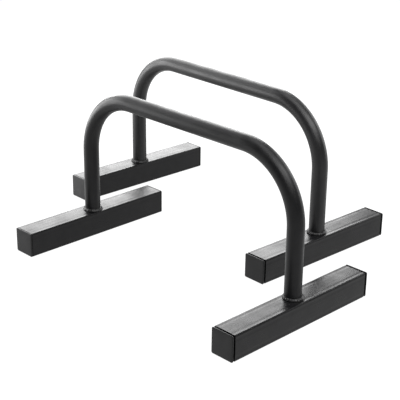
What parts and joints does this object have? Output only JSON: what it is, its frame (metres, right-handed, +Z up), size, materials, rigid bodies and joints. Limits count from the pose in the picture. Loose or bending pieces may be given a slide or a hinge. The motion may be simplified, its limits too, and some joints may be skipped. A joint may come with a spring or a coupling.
{
  "type": "parallette bar",
  "caption": "Low steel parallette bars: a U-bent round grip tube welded onto crosswise box-section feet that plastic end caps close.",
  "frame": {"origin": "on the floor, under the middle of the pair's box", "axes": "+X along the front bar's grip rail, towards its right leg; +Y from the front bar to the rear bar; +Z up"},
  "size_m": [0.7746, 0.6256, 0.323],
  "materials": {
    "tube_coat": "satin black powder coat on the bent round tube",
    "foot_coat": "satin black powder coat on the box section",
    "weld_coat": "satin black powder coat over the rippled weld bead",
    "cap_plastic": "fine-grained black moulded plastic"
  },
  "bodies": {
    "front_bar": {"front_grip_tube": "tube_coat", "front_left_foot_tube": "foot_coat", "front_right_foot_tube": "foot_coat", "front_left_weld": "weld_coat", "front_right_weld": "weld_coat", "front_left_near_cap": "cap_plastic", "front_left_far_cap": "cap_plastic", "front_right_near_cap": "cap_plastic", "front_right_far_cap": "cap_plastic"},
    "rear_bar": {"rear_grip_tube": "tube_coat", "rear_left_foot_tube": "foot_coat", "rear_right_foot_tube": "foot_coat", "rear_left_weld": "weld_coat", "rear_right_weld": "weld_coat", "rear_left_near_cap": "cap_plastic", "rear_left_far_cap": "cap_plastic", "rear_right_near_cap": "cap_plastic", "rear_right_far_cap": "cap_plastic"}
  },
  "joints": [
    {"name": "bar_spacing", "type": "slide", "parent": "front_bar", "child": "rear_bar", "axis": [0, 1, 0], "range_m": [-0.2, 0.4]}
  ]
}
